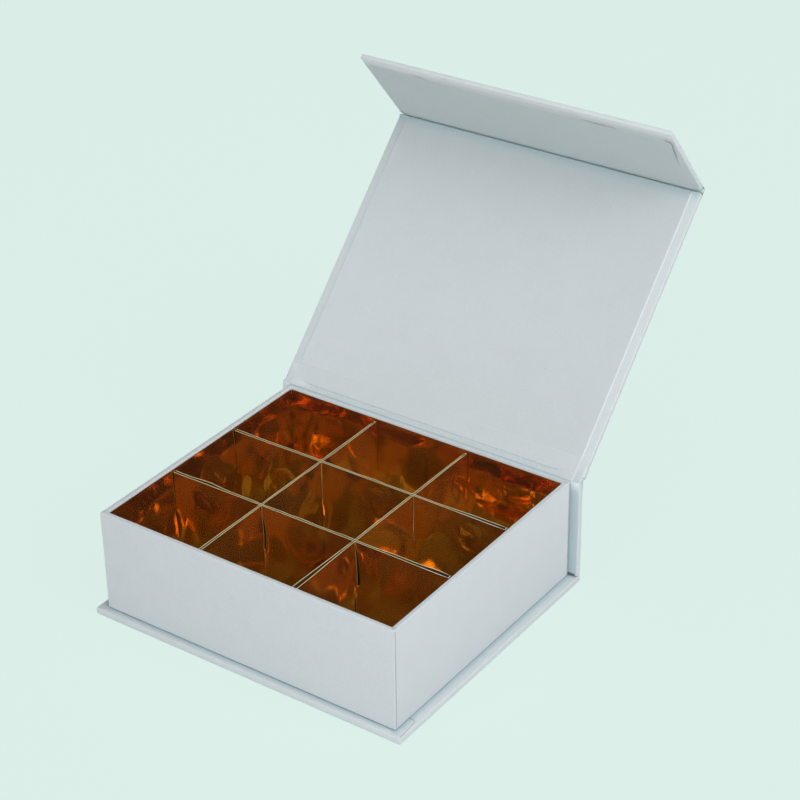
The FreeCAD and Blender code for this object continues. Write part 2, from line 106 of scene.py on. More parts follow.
# Corner tapes: brown gummed paper, wetted and pressed round the tray's four upright corners
# before the tray is wrapped. Hidden under the paper.
gummed_tape, tree, shader, place = new_material("gummed_tape")
stretch = tree.nodes.new("ShaderNodeMapping")
stretch.inputs["Scale"].default_value = (1, 1, 0.15)
tree.links.new(place, stretch.inputs["Vector"])
fibres = cloudy(tree, stretch.outputs["Vector"], 1400, 5)
tones = two_toned(tree, fibres, 0, (0.42, 0.30, 0.17), 1, (0.60, 0.46, 0.30))
tree.links.new(tones, shader.inputs["Base Color"])
shader.inputs["Roughness"].default_value = 0.6
coat(gummed_tape, ["corner_tapes"])


# Closure: two nickel-plated magnets let into the flap board and two steel discs in the tray's front wall.
# They are glued in and sealed under the paper.
def spread(tree, value, start, low, end, high):
    """A number that runs from low to high as a value goes from start to end."""
    span = tree.nodes.new("ShaderNodeMapRange")
    for name, number in (("From Min", start), ("From Max", end), ("To Min", low), ("To Max", high)):
        span.inputs[name].default_value = number
    tree.links.new(value, span.inputs["Value"])
    return span.outputs["Result"]


plated_disc, tree, shader, place = new_material("nickel_plated_disc")
brushing = cloudy(tree, place, 2500, 2)
tree.links.new(spread(tree, brushing, 0, 0.22, 1, 0.42), shader.inputs["Roughness"])
shader.inputs["Base Color"].default_value = (0.62, 0.61, 0.58, 1)
shader.inputs["Metallic"].default_value = 1
coat(plated_disc, ("flap_magnet_left", "flap_magnet_right", "closure_disc_left", "closure_disc_right"))


# Case base: the bottom board is wrapped in matt pale blue paper that is glued on, bent round the edges
# and turned in on top. The middle of its top stays bare under the tray.
def paper_stock(name, colour):
    """Matt uncoated paper: cloudy formation, fine fibres, sparse specks and a slight tooth."""
    stock, tree, shader, place = new_material(name)
    clouds = cloudy(tree, place, 130, 5)
    clouds.node.inputs["Roughness"].default_value = 0.6
    fibres = cloudy(tree, place, 2600, 3)
    dust = tree.nodes.new("ShaderNodeTexVoronoi")
    dust.inputs["Scale"].default_value = 150
    tree.links.new(place, dust.inputs["Vector"])
    tone = two_toned(tree, clouds, 0.3, [c * 0.988 for c in colour], 0.7, [c * 1.012 for c in colour])
    grain = spread(tree, fibres, 0.3, 0.955, 0.7, 1.035)
    specks = spread(tree, dust.outputs["Distance"], 0.02, 0.88, 0.05, 1)
    for factor in (grain, specks):
        scaled = tree.nodes.new("ShaderNodeVectorMath")
        scaled.operation = "SCALE"
        tree.links.new(tone, scaled.inputs[0])
        tree.links.new(factor, scaled.inputs["Scale"])
        tone = scaled.outputs["Vector"]
    cockle = raised(tree, clouds, 0.12, 0.0001)
    tooth = raised(tree, fibres, 0.25, 0.00004)
    tree.links.new(cockle, tooth.node.inputs["Normal"])
    tree.links.new(tone, shader.inputs["Base Color"])
    tree.links.new(spread(tree, fibres, 0, 0.7, 1, 0.9), shader.inputs["Roughness"])
    tree.links.new(tooth, shader.inputs["Normal"])
    shader.inputs["Specular IOR Level"].default_value = 0.3
    return stock


def painted_shading(stock, tint, *lines):
    """Paint shade or light into a paper: it takes a tint where every line, from a start to an end in metres,
    has reached its end.
    """
    nodes, links = stock.node_tree.nodes, stock.node_tree.links
    colour = nodes["Principled BSDF"].inputs["Base Color"]
    place = nodes.new("ShaderNodeTexCoord")
    toned = nodes.new("ShaderNodeMix")
    toned.data_type = "RGBA"
    toned.blend_type = "MULTIPLY"
    reached = None
    for start, end in lines:
        way = Vector(end) - Vector(start)
        along = nodes.new("ShaderNodeVectorMath")
        along.operation = "DOT_PRODUCT"
        along.inputs[1].default_value = way / way.length_squared
        fade = nodes.new("ShaderNodeMapRange")
        fade.interpolation_type = "SMOOTHSTEP"
        fade.inputs["From Min"].default_value = Vector(start).dot(way) / way.length_squared
        fade.inputs["From Max"].default_value = Vector(end).dot(way) / way.length_squared
        links.new(place.outputs["Object"], along.inputs[0])
        links.new(along.outputs["Value"], fade.inputs["Value"])
        if reached:
            least = nodes.new("ShaderNodeMath")
            least.operation = "MINIMUM"
            links.new(reached, least.inputs[0])
            links.new(fade.outputs["Result"], least.inputs[1])
            reached = least.outputs["Value"]
        else:
            reached = fade.outputs["Result"]
    links.new(reached, toned.inputs[0])
    links.new(colour.links[0].from_socket, toned.inputs[6])
    toned.inputs[7].default_value = (*tint, 1)
    links.new(toned.outputs[2], colour)
    return stock


def block(name, low, high, papers):
    """A block between two corners in metres, ready to be shaped in edit mode."""
    bpy.ops.object.select_all(action="DESELECT")
    low, high = Vector(low), Vector(high)
    bpy.ops.mesh.primitive_cube_add(size=1, location=(low + high) / 2)
    piece = bpy.context.object
    piece.name = name
    piece.scale = high - low
    bpy.ops.object.transform_apply(location=True, rotation=True, scale=True)
    for stock in papers:
        piece.data.materials.append(stock)
    return piece


def pick(piece, kind, test):
    """Select the faces or edges whose middle and direction pass a test, and go to edit mode."""
    bpy.context.view_layer.objects.active = piece
    if piece.mode == "EDIT":
        bpy.ops.object.mode_set(mode="OBJECT")
    mesh = piece.data
    for group in (mesh.vertices, mesh.edges, mesh.polygons):
        group.foreach_set("select", [False] * len(group))
    if kind == "faces":
        bpy.context.tool_settings.mesh_select_mode = (False, False, True)
        for face in mesh.polygons:
            face.select = test(face.center, face.normal)
    else:
        bpy.context.tool_settings.mesh_select_mode = (False, True, False)
        for edge in mesh.edges:
            a, b = (mesh.vertices[index].co for index in edge.vertices)
            edge.select = test((a + b) / 2, (b - a).normalized())
    bpy.ops.object.mode_set(mode="EDIT")


def bend_edges(piece, radius, test, steps=4):
    """Round the chosen edges as paper bends round a board, with the piece's second paper on the bend."""
    pick(piece, "edges", test)
    bpy.ops.mesh.bevel(offset=radius, segments=steps, affect="EDGES", material=1)
    bpy.ops.object.mode_set(mode="OBJECT")


def open_faces(piece, test, margin=0):
    """Take away the chosen faces, less a margin, where the wrap leaves the board bare."""
    pick(piece, "faces", test)
    if margin:
        bpy.ops.mesh.inset(thickness=margin)
    bpy.ops.mesh.delete(type="FACE")
    bpy.ops.object.mode_set(mode="OBJECT")


def restock(piece, stock, test, only=None):
    """Give the chosen faces another of the piece's papers, where asked only those that have a certain one."""
    papers = piece.data.materials
    for face in piece.data.polygons:
        if (only is None or papers[face.material_index] == only) and test(face.center, face.normal):
            face.material_index = papers.find(stock.name)


def thicken(piece, thickness, side=-1, rim=0, even=True, back=0):
    """Give a sheet its thickness, on the far side of its face unless told otherwise."""
    bpy.context.view_layer.objects.active = piece
    shell = piece.modifiers.new("thickness", "SOLIDIFY")
    shell.thickness = thickness
    shell.offset = side
    shell.use_even_offset = even
    shell.material_offset_rim = rim
    shell.material_offset = back
    bpy.ops.object.modifier_apply(modifier=shell.name)


def hold(piece):
    """Make a piece the only selected one, and the active one."""
    bpy.ops.object.select_all(action="DESELECT")
    piece.select_set(True)
    bpy.context.view_layer.objects.active = piece


def smooth(piece):
    """Shade a finished piece softly but for its corners."""
    hold(piece)
    bpy.ops.object.shade_smooth_by_angle(angle=math.radians(32))


mm = 0.001
case_paper = paper_stock("case_wrapping_paper", (0.600, 0.650, 0.672))
case_bend = paper_stock("case_paper_on_bends", (0.610, 0.640, 0.660))
paper = 0.15 * mm
case_round = 0.42 * mm
turn_in = 13 * mm

low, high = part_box("base_wrap")
base_top = high.z
tray_x, tray_y = 60 * mm, 52.1 * mm
shade_x, shade_y = tray_x + 2.4 * mm, tray_y + 2.0 * mm
shade_step = 0.2 * mm
# Painted shade: the base's turned-in top is painted darker and more teal over the last 2 to 2.4 mm towards
# the tray's foot, for the shade round the tray. The corner tabs take the same paper.
case_ledge_painted_shade = painted_shading(paper_stock("case_paper_painted_shade_round_tray", (0.600, 0.650, 0.672)), (0.70, 0.83, 0.86),
                    *(((side * shade_x, 0, 0), (side * (tray_x - shade_step), 0, 0)) for side in (1, -1)),
                    *(((0, side * shade_y, 0), (0, side * (tray_y - shade_step), 0)) for side in (1, -1)))
base_wrap = block("base_wrap_paper", low, high, [case_paper, case_bend, case_ledge_painted_shade])
bend_edges(base_wrap, case_round, lambda middle, along: True)
restock(base_wrap, case_ledge_painted_shade, lambda middle, normal: normal.z > 0.99)
open_faces(base_wrap, lambda middle, normal: normal.z > 0.99, turn_in)
thicken(base_wrap, paper)
smooth(base_wrap)
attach(base_wrap, "base")
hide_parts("base_wrap")


# Corner tabs: at the front corners the front turn-in laps over the side one in a rounded ear,
# cut on the skew so that it stays just inside the edge.
def near(a, b):
    """Whether two lengths are the same but for a hair."""
    return abs(a - b) < hair


def slice_across(piece, point, normal):
    """A line of vertices all round a piece where a plane crosses it."""
    bpy.context.view_layer.objects.active = piece
    bpy.ops.object.mode_set(mode="EDIT")
    bpy.ops.mesh.select_all(action="SELECT")
    bpy.ops.mesh.bisect(plane_co=point, plane_no=normal)
    bpy.ops.object.mode_set(mode="OBJECT")


def set_down(piece, matrix):
    """Carry a piece that was drawn elsewhere to its place, and leave its object at the origin."""
    piece.matrix_world = matrix @ piece.matrix_world
    hold(piece)
    bpy.ops.object.transform_apply(location=True, rotation=True, scale=True)


def face_outwards(piece):
    """Turn the faces of a piece all one way, outwards where it is closed."""
    pick(piece, "faces", lambda middle, normal: True)
    bpy.ops.mesh.normals_make_consistent(inside=False)
    bpy.ops.object.mode_set(mode="OBJECT")


hair = 0.01 * mm
# Painted shadow: dark grey paper on the bevels of cut edges (the right corner tab, the rim tucks, the skew
# end of the flap's front turn-in) stands in for the thin shadow line along them.
cut_edge_painted_shadow = paper_stock("paper_edge_painted_shadow", (0.27, 0.29, 0.30))
# Painted shadow: a dark band across the rear end of each corner tab's top stands in for the shadow line
# behind it.
tab_end_painted_shadow = paper_stock("case_paper_at_tab_end", (0.31, 0.35, 0.37))
tab_top = base_top + 0.12 * mm
tab_front, tab_rear, tab_inner, tab_outer = -54.25 * mm, -44.1 * mm, 59.9 * mm, 62.5 * mm
tab_half_x, tab_half_y = 61 * mm, -50 * mm
tab_skew, tab_corner = 0.7 * mm, 1.3 * mm
end_line = -44.5 * mm
for side, name, edge in ((1, "right", cut_edge_painted_shadow), (-1, "left", case_bend)):
    tab = block(f"base_corner_tab_{name}", (tab_inner, tab_front, base_top), (tab_outer, tab_rear, tab_top),
                [case_ledge_painted_shade, edge])
    pick(tab, "edges", lambda middle, along: abs(along.z) > 0.9 and middle.x > tab_half_x
         and middle.y < tab_half_y)
    bpy.ops.transform.translate(value=(tab_skew, 0, 0))
    pick(tab, "edges", lambda middle, along: abs(along.z) > 0.9 and middle.x > tab_half_x
         and middle.y > tab_half_y)
    bpy.ops.mesh.bevel(offset=tab_corner, segments=6, affect="EDGES")
    bend_edges(tab, 0.1 * mm, lambda middle, along: near(middle.z, tab_top)
               and middle.x > tab_inner + 0.6 * mm and middle.y > tab_front + 0.05 * mm, 2)
    tab.data.materials.append(tab_end_painted_shadow)
    slice_across(tab, (0, end_line, 0), (0, 1, 0))
    restock(tab, tab_end_painted_shadow, lambda middle, normal: normal.z > 0.9 and middle.y > end_line)
    if side < 0:
        set_down(tab, Matrix.Scale(-1, 4, (1, 0, 0)))
        face_outwards(tab)
    smooth(tab)
    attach(tab, "base")

# Spine: the same sheet goes on up the back over a narrow board and is turned in at both ends.
# Above the base board it is pressed into a groove, so that the case bends there while it is made.
low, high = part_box("spine_board")
wrap_low, wrap_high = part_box("spine_wrap")
groove_top = low.z
shade_end = 63.8 * mm
# Painted shade and light: the spine's inside turn-ins are painted darker and more teal towards the tray's
# corner and lower down, then lighter towards the top, for the shade beside the tray and the light over the
# spine.
case_recess_painted_shade_and_light = painted_shading(paper_stock("case_paper_painted_shade_and_light_behind_tray", (0.585, 0.650, 0.680)), (0.82, 0.92, 0.94),
                     *(((side * shade_end, 0, 0), (side * (tray_x + shade_step), 0, 0)) for side in (1, -1)),
                     ((0, 0, 42 * mm), (0, 0, 34 * mm)))
painted_shading(case_recess_painted_shade_and_light, (1.32, 1.27, 1.25), ((0, 0, 36 * mm), (0, 0, 41 * mm)))
# Painted shadow: a near-black teal band low on the spine's inside turn-ins, just above the groove, stands in
# for the shadow at the spine's foot.
spine_foot_painted_shadow = paper_stock("case_paper_painted_shadow_in_spine_foot", (0.16, 0.21, 0.22))
foot_shadow_margin, foot_shadow_top = 0.9 * mm, groove_top + 0.8 * mm
spine_wrap = block("spine_wrap_paper", (wrap_low.x, wrap_low.y, groove_top),
                   (wrap_high.x, wrap_high.y, wrap_high.z + 0.03 * mm),
                   [case_paper, case_bend, case_recess_painted_shade_and_light, spine_foot_painted_shadow])
for margin in (turn_in, foot_shadow_margin):
    slice_across(spine_wrap, (wrap_low.x + margin, 0, 0), (1, 0, 0))
    slice_across(spine_wrap, (wrap_high.x - margin, 0, 0), (1, 0, 0))
slice_across(spine_wrap, (0, 0, foot_shadow_top), (0, 0, 1))
bend_edges(spine_wrap, case_round, lambda middle, along: abs(along.z) > 0.9 and abs(middle.x) > tray_x)
open_faces(spine_wrap, lambda middle, normal: normal.z < -0.9)
open_faces(spine_wrap, lambda middle, normal: abs(middle.x) < wrap_high.x - turn_in
           and (normal.y < -0.9 or normal.z > 0.9))
restock(spine_wrap, case_recess_painted_shade_and_light, lambda middle, normal: normal.y < -0.9)
restock(spine_wrap, spine_foot_painted_shadow, lambda middle, normal: normal.y < -0.9 and middle.z < foot_shadow_top
        and abs(middle.x) < wrap_high.x - foot_shadow_margin)
thicken(spine_wrap, paper)
smooth(spine_wrap)
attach(spine_wrap, "base")
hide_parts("spine_wrap")


def paper_strip(name, route, left, right, papers, cells=40):
    """A strip along X whose section follows (y, z) points in metres, its face left of them seen from +X."""
    bpy.ops.object.select_all(action="DESELECT")
    rows = len(route) - 1
    bpy.ops.mesh.primitive_grid_add(x_subdivisions=cells, y_subdivisions=rows, size=1)
    strip = bpy.context.object
    strip.name = name
    for vertex in strip.data.vertices:
        y, z = route[round((vertex.co.y + 0.5) * rows)]
        vertex.co = (left + (vertex.co.x + 0.5) * (right - left), y, z)
    for stock in papers:
        strip.data.materials.append(stock)
    return strip


groove_back = wrap_high.y + hair
groove_route = [(groove_back, groove_top + 1.2 * mm), (groove_back, groove_top + 0.4 * mm),
                (groove_back - 0.12 * mm, groove_top), (groove_back - 0.2 * mm, groove_top - 0.3 * mm),
                (groove_back - 0.12 * mm, base_top), (groove_back, base_top - 0.5 * mm),
                (groove_back, base_top - 1.2 * mm)]
groove_inset = 0.3 * mm
groove_paper = paper_strip("spine_groove_paper", groove_route, wrap_low.x + groove_inset,
                           wrap_high.x - groove_inset, [case_paper])
thicken(groove_paper, 0.1 * mm)
smooth(groove_paper)
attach(groove_paper, "base")

# Spine lining: a strip of the lining paper, a shade darker than the wrap.
# It is glued to the inside of the spine board and bent over its top towards the lid.
lining_paper = paper_stock("lining_paper", (0.560, 0.615, 0.635))
# Painted highlight: a lighter copy of the lining paper for the lid lining's right edge, its band across the
# hinge and the flap lining's free edge, where light catches them.
lining_painted_highlight = paper_stock("lining_paper_painted_highlight", (0.68, 0.715, 0.725))
# Painted shade: a dark teal copy of the lining paper for the spine lining's rounded top edge and the lid
# lining's left edge, where shade falls.
lining_painted_shade = paper_stock("lining_paper_painted_shade_in_gaps", (0.40, 0.52, 0.55))
lining = 0.12 * mm
low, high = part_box("spine_liner")
lining_end = 60.3 * mm
spine_lining = block("spine_lining_paper", low, high, [lining_paper, lining_painted_shade])
open_faces(spine_lining, lambda middle, normal: normal.y > 0.9 or abs(normal.x) > 0.9 or normal.z < -0.9)
# Painted shade: the rounded top edge takes the dark teal lining paper, for the shade in the gap behind the
# tray's back wall.
bend_edges(spine_lining, 0.4 * mm, lambda middle, along: near(middle.y, low.y) and near(middle.z, high.z))
thicken(spine_lining, lining)
smooth(spine_lining)
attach(spine_lining, "base")
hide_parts("spine_liner")

# Tray: four walls on a floor, wrapped in one sheet that is turned in over the rim and under the floor.
# The sheet's ends lap round the upright corners and stop in a fine line on the side walls.
tray_paper = paper_stock("tray_wrapping_paper", (0.603, 0.638, 0.664))
# Painted shade: the bends of the tray's wrap, and the rim tucks, take a slightly darker copy of the tray
# paper.
tray_bend_painted_shade = paper_stock("tray_paper_painted_shade_on_bends", (0.580, 0.625, 0.650))
# Painted shade: the top of the rim takes a darker copy of the tray paper, against the light from above.
tray_rim_painted_shade = paper_stock("tray_paper_on_rim", (0.545, 0.595, 0.612))
# Painted highlight: a lighter copy for the rim's inner edges and its left outer bend, which would otherwise
# read in shade.
tray_lip_painted_highlight = paper_stock("tray_paper_painted_highlight_on_rim_edges", (0.72, 0.755, 0.77))
tray_seam = paper_stock("open_paper_seam", (0.26, 0.23, 0.22))
# Painted shade: a dark teal copy for the tray's bottom bend, for the shade where the tray stands on the base.
tray_foot_painted_shade = paper_stock("tray_paper_painted_shade_at_foot", (0.27, 0.35, 0.37))
low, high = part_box("tray_wrap")
rim_width = 1.86 * mm
tray_round, lip_round = 0.45 * mm, 0.3 * mm
seam_near, seam_far, seam_depth = 0.58 * mm, 0.86 * mm, 0.1 * mm
tray_wrap = block("tray_wrap_paper", low, high,
                  [tray_paper, tray_bend_painted_shade, tray_seam, tray_foot_painted_shade, tray_rim_painted_shade, tray_lip_painted_highlight])
pick(tray_wrap, "faces", lambda middle, normal: normal.z > 0.9)
bpy.ops.mesh.inset(thickness=rim_width)
bpy.ops.mesh.extrude_region_move(TRANSFORM_OT_translate={"value": (0, 0, -turn_in)})
bpy.ops.mesh.delete(type="FACE")
bpy.ops.object.mode_set(mode="OBJECT")
open_faces(tray_wrap, lambda middle, normal: normal.z < -0.9, 12 * mm)
inside = (high.x - rim_width, high.y - rim_width)
bend_edges(tray_wrap, tray_round,
           lambda middle, along: (near(abs(middle.x), high.x) or near(abs(middle.y), high.y))
           and (abs(along.z) > 0.9 or near(middle.z, high.z) or near(middle.z, low.z)))
restock(tray_wrap, tray_foot_painted_shade, lambda middle, normal: middle.z < low.z + 0.44 * mm and abs(normal.z) > 0.05)
restock(tray_wrap, tray_rim_painted_shade, lambda middle, normal: normal.z > 0.99 and middle.z > high.z - hair)
# Painted highlight on the left outer bend of the rim and, below, on the inner rim edges.
restock(tray_wrap, tray_lip_painted_highlight, lambda middle, normal: normal.x < -0.1 and 0.2 < normal.z < 0.99
        and middle.x < low.x + tray_round)
bend_edges(tray_wrap, lip_round, lambda middle, along: near(middle.z, high.z) and abs(along.z) < 0.1
           and abs(middle.x) < inside[0] + hair and abs(middle.y) < inside[1] + hair, 3)
restock(tray_wrap, tray_lip_painted_highlight, lambda middle, normal: middle.z > high.z - lip_round
        and (middle.x > inside[0] - hair and normal.x < -0.1
             or middle.y < -inside[1] + hair and normal.y > 0.1))
for y in (low.y + seam_near, low.y + seam_far, high.y - seam_far, high.y - seam_near):
    pick(tray_wrap, "faces", lambda middle, normal: abs(normal.x) > 0.99 and abs(middle.x) > high.x - hair)
    bpy.ops.mesh.bisect(plane_co=(0, y, 0), plane_no=(0, 1, 0))
    bpy.ops.object.mode_set(mode="OBJECT")
for side in (1, -1):
    pick(tray_wrap, "faces", lambda middle, normal: normal.x * side > 0.99 and abs(middle.x) > high.x - hair
         and high.y - seam_far < abs(middle.y) < high.y - seam_near)
    bpy.ops.mesh.extrude_region_move(TRANSFORM_OT_translate={"value": (-seam_depth * side, 0, 0)})
    tray_wrap.active_material_index = tray_wrap.data.materials.find(tray_seam.name)
    bpy.ops.object.material_slot_assign()
    bpy.ops.object.mode_set(mode="OBJECT")
thicken(tray_wrap, 0.12 * mm)
smooth(tray_wrap)
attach(tray_wrap, "base")
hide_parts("tray_wrap")

# Rim tucks: at each corner of the rim the turned-in tray paper is pinched into a small triangle.
# It lies on top of its neighbour and is held by the same glue.
rim_top = high.z
tuck_top, tuck_lap, tuck_inset = rim_top + 0.12 * mm, 0.05 * mm, 0.35 * mm
for x_side in (1, -1):
    for y_side in (1, -1):
        name = f"rim_tuck_{'right' if x_side > 0 else 'left'}_{'back' if y_side > 0 else 'front'}"
        tuck = block(name, (inside[0] - tuck_lap, inside[1] - tuck_lap, rim_top - 0.1 * mm),
                     (high.x - tuck_inset, high.y - tuck_inset, tuck_top), [tray_bend_painted_shade, cut_edge_painted_shadow])
        bpy.ops.object.mode_set(mode="EDIT")
        bpy.ops.mesh.select_all(action="SELECT")
        bpy.ops.mesh.bisect(plane_co=(inside[0] + 0.75 * mm, inside[1] + 0.55 * mm, 0), plane_no=(1, -1, 0),
                            use_fill=True, clear_inner=True)
        bpy.ops.object.mode_set(mode="OBJECT")
        bend_edges(tuck, 0.09 * mm, lambda middle, along: near(middle.z, tuck_top), 2)
        set_down(tuck, Matrix.Diagonal((x_side, y_side, 1, 1)))
        face_outwards(tuck)
        smooth(tuck)
        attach(tuck, "base")


# Insert lining: thin card faced with gold mirror foil, cut as a cross, folded up into a shallow box
# and dropped into the tray. Its raw pale edges show at the open corners.
def mirror_foil(name, dark, light):
    """Gold mirror foil: an uneven tint, slow ripples and a fine polish."""
    foil, tree, shader, place = new_material(name)
    stains = cloudy(tree, place, 40, 1)
    rolling = cloudy(tree, place, 700, 2)
    tree.links.new(two_toned(tree, stains, 0.35, dark, 0.7, light), shader.inputs["Base Color"])
    tree.links.new(spread(tree, rolling, 0, 0.06, 1, 0.085), shader.inputs["Roughness"])
    tree.links.new(raised(tree, stains, 0.15, 0.0006), shader.inputs["Normal"])
    shader.inputs["Metallic"].default_value = 0.985
    return foil


lining_foil = mirror_foil("gold_mirror_foil", (0.805, 0.540, 0.24), (0.840, 0.600, 0.28))
card_edge = paper_stock("cut_card_edge", (0.80, 0.75, 0.43))
# Dark brown card, given to the insert lining's top edges and to the inner faces of the dividers' plies.
dark_brown_card = paper_stock("dark_brown_card_faces", (0.10, 0.045, 0.012))

card = 0.35 * mm
low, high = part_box("insert_lining")
floor_top = low.z + card


def ease(value, low, high):
    """A soft step from 0 at low to 1 at high."""
    share = min(max((value - low) / (high - low), 0), 1)
    return share * share * (3 - 2 * share)


def rippled(piece, height, upper, lean=0, along=None, top=0):
    """Let card roll out of its plane in long upright waves, held to a share at its upper edge."""
    wave_length, dent_depth = 14 * mm, 2.8
    ways = [along or vertex.normal.copy() for vertex in piece.data.vertices]
    for vertex, way in zip(piece.data.vertices, ways):
        spot = Vector((vertex.co.x, vertex.co.y, vertex.co.z * 0.5)) / wave_length
        dent = max(0, noise.noise(spot * 1.5 + Vector((7.3, 3.1, 5.7))) - 0.15)
        held = top + (1 - top) * ease(upper - vertex.co.z, 0.3 * mm, 7 * mm)
        vertex.co += way * height * held * (0.7 * noise.noise(spot) + dent_depth * dent + lean)


inner_x, inner_y = high.x - card, high.y - card
wall_middle = (floor_top + high.z) / 2
wall_height = high.z - floor_top
wall_x, wall_y = 2 * inner_x - 0.2 * mm, 2 * inner_y - 0.2 * mm
floor_ripple, wall_ripple, wall_lean = 0.2 * mm, 0.42 * mm, 0.6
panels = []
for name, middle, size, turn in (
        ("floor", (0, 0, floor_top), (2 * inner_x, 2 * inner_y), (0, 0, 0)),
        ("left", (-inner_x, 0, wall_middle), (wall_height, wall_y), (0, math.pi / 2, 0)),
        ("right", (inner_x, 0, wall_middle), (wall_height, wall_y), (0, -math.pi / 2, 0)),
        ("back", (0, inner_y, wall_middle), (wall_x, wall_height), (math.pi / 2, 0, 0)),
        ("front", (0, -inner_y, wall_middle), (wall_x, wall_height), (-math.pi / 2, 0, 0))):
    bpy.ops.object.select_all(action="DESELECT")
    bpy.ops.mesh.primitive_grid_add(x_subdivisions=72, y_subdivisions=72, size=1,
                                    location=middle, rotation=turn)
    panel = bpy.context.object
    panel.scale = (size[0], size[1], 1)
    bpy.ops.object.transform_apply(location=True, rotation=True, scale=True)
    panel.data.materials.append(lining_foil)
    panel.data.materials.append(card_edge)
    if name == "floor":
        rippled(panel, floor_ripple, high.z)
    else:
        rippled(panel, wall_ripple, high.z, wall_lean)
    panels.append(panel)
bpy.ops.object.select_all(action="DESELECT")
for panel in panels:
    panel.select_set(True)
bpy.context.view_layer.objects.active = panels[0]
bpy.ops.object.join()
insert_lining = bpy.context.object
insert_lining.name = "insert_lining_card"
thicken(insert_lining, card, rim=1)
insert_lining.data.materials.append(dark_brown_card)
restock(insert_lining, dark_brown_card, lambda middle, normal: normal.z > 0.8 and middle.z > wall_middle)
smooth(insert_lining)
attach(insert_lining, "base")
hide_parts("insert_lining")


# Dividers: each is one strip of the same card folded double at one end and slotted half through,
# so that two long and two cross strips slide into each other and make nine cells. The loose ends spring open
# a little, and the cut edges of the slots are pushed outwards.
def folded_divider(name, start, end, slots, from_below, spring, bulge):
    """A doubled strip along X, its fold at the end and its slots at the given places."""
    apart, slot_half, slot_flare = 0.33 * mm, 0.6 * mm, 0.22 * mm
    fold = end - 0.5 * mm
    bpy.ops.object.select_all(action="DESELECT")
    bpy.ops.mesh.primitive_plane_add(size=1, rotation=(math.pi / 2, 0, 0),
                                     location=((start + fold) / 2, -apart, (divider_low + divider_high) / 2))
    strip = bpy.context.object
    strip.name = name
    strip.scale = (fold - start, divider_high - divider_low, 1)
    bpy.ops.object.transform_apply(location=True, rotation=True, scale=True)
    for stock in (divider_foil, card_edge, dark_brown_card, slot_edge):
        strip.data.materials.append(stock)
    for x in [slot + half for slot in slots for half in (-slot_half, slot_half)]:
        slice_across(strip, (x, 0, 0), (1, 0, 0))
    slice_across(strip, (0, 0, slot_end), (0, 0, 1))
    open_faces(strip, lambda middle, normal: (middle.z < slot_end) == from_below
               and min(abs(middle.x - slot) for slot in slots) < slot_half)
    pick(strip, "faces", lambda middle, normal: True)
    bpy.ops.mesh.subdivide(number_cuts=9)
    pick(strip, "faces", lambda middle, normal: True)
    bpy.ops.mesh.duplicate_move(TRANSFORM_OT_translate={"value": (0, 2 * apart, 0)})
    bpy.ops.mesh.flip_normals()
    pick(strip, "edges", lambda middle, along: abs(along.z) > 0.9 and near(middle.x, fold) and middle.y < 0)
    bpy.ops.mesh.spin(steps=8, angle=math.pi, center=(fold, 0, 0), axis=(0, 0, 1))
    bpy.ops.mesh.select_all(action="SELECT")
    bpy.ops.mesh.remove_doubles(threshold=0.002 * mm)
    for side in (1, -1):
        pick(strip, "edges", lambda middle, along: abs(along.z) > 0.9 and (middle.z < slot_end) == from_below
             and middle.y * side > 0
             and min(abs(abs(middle.x - slot) - slot_half) for slot in slots) < hair)
        bpy.ops.mesh.extrude_region_move(TRANSFORM_OT_translate={"value": (0, slot_flare * side, 0)})
    bpy.ops.mesh.select_all(action="SELECT")
    bpy.ops.mesh.normals_make_consistent(inside=False)
    bpy.ops.object.mode_set(mode="OBJECT")
    for vertex in strip.data.vertices:
        opened = spring * ease(slots[0] - vertex.co.x, 2 * mm, slots[0] - start)
        opened += bulge * ease(vertex.co.x, slots[-1] + 2 * mm, end)
        vertex.co.y *= 1 + opened / apart
    return strip


def finish_divider(divider, name, sway):
    """Roll the two plies, give them their thickness and darken the cut edges down in the slots."""
    rippled(divider, 0.15 * mm, divider_high, top=1)
    rippled(divider, 0.55 * mm, divider_high, along=sway, top=0.4)
    thicken(divider, 0.21 * mm, side=0, rim=1, even=False, back=2)
    restock(divider, slot_edge, lambda middle, normal: abs(normal.z) < 0.5, only=card_edge)
    smooth(divider)
    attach(divider, "base")
    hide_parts(name)


slot_edge = paper_stock("cut_slot_edge", (0.36, 0.24, 0.10))
# Painted highlight: a near-white colour on the near ply's top edge towards each long divider's right end, for
# the glint of light on the foil's edge.
edge_painted_highlight = paper_stock("card_edge_painted_highlight", (0.93, 0.92, 0.87))
divider_foil = mirror_foil("gold_mirror_foil_on_dividers", (0.800, 0.590, 0.27), (0.835, 0.650, 0.31))
low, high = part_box("long_divider_front")
divider_low, divider_high = low.z, high.z
slot_end = (low.z + high.z) / 2
cross_low, cross_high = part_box("cross_divider_right")
cell_x, cell_y = (cross_low.x + cross_high.x) / 2, -(low.y + high.y) / 2
end_gap = 0.2 * mm
for name, y, highlight_from in (("long_divider_front", -cell_y, cell_x + 28 * mm),
                           ("long_divider_rear", cell_y, cell_x + 18 * mm)):
    divider = folded_divider(f"{name}_card", low.x, inner_x - end_gap, (-cell_x, cell_x), from_below=True,
                             spring=0.2 * mm, bulge=0.35 * mm)
    set_down(divider, Matrix.Translation((0, y, 0)))
    finish_divider(divider, name, Vector((0, 1, 0)))
    divider.data.materials.append(edge_painted_highlight)
    restock(divider, card_edge, lambda middle, normal: middle.x < low.x + 0.5 * mm and middle.z > slot_end,
            only=slot_edge)
    # Painted highlight on the near ply's top edge, towards the right end.
    restock(divider, edge_painted_highlight, lambda middle, normal: middle.x > highlight_from and middle.y < y, only=card_edge)
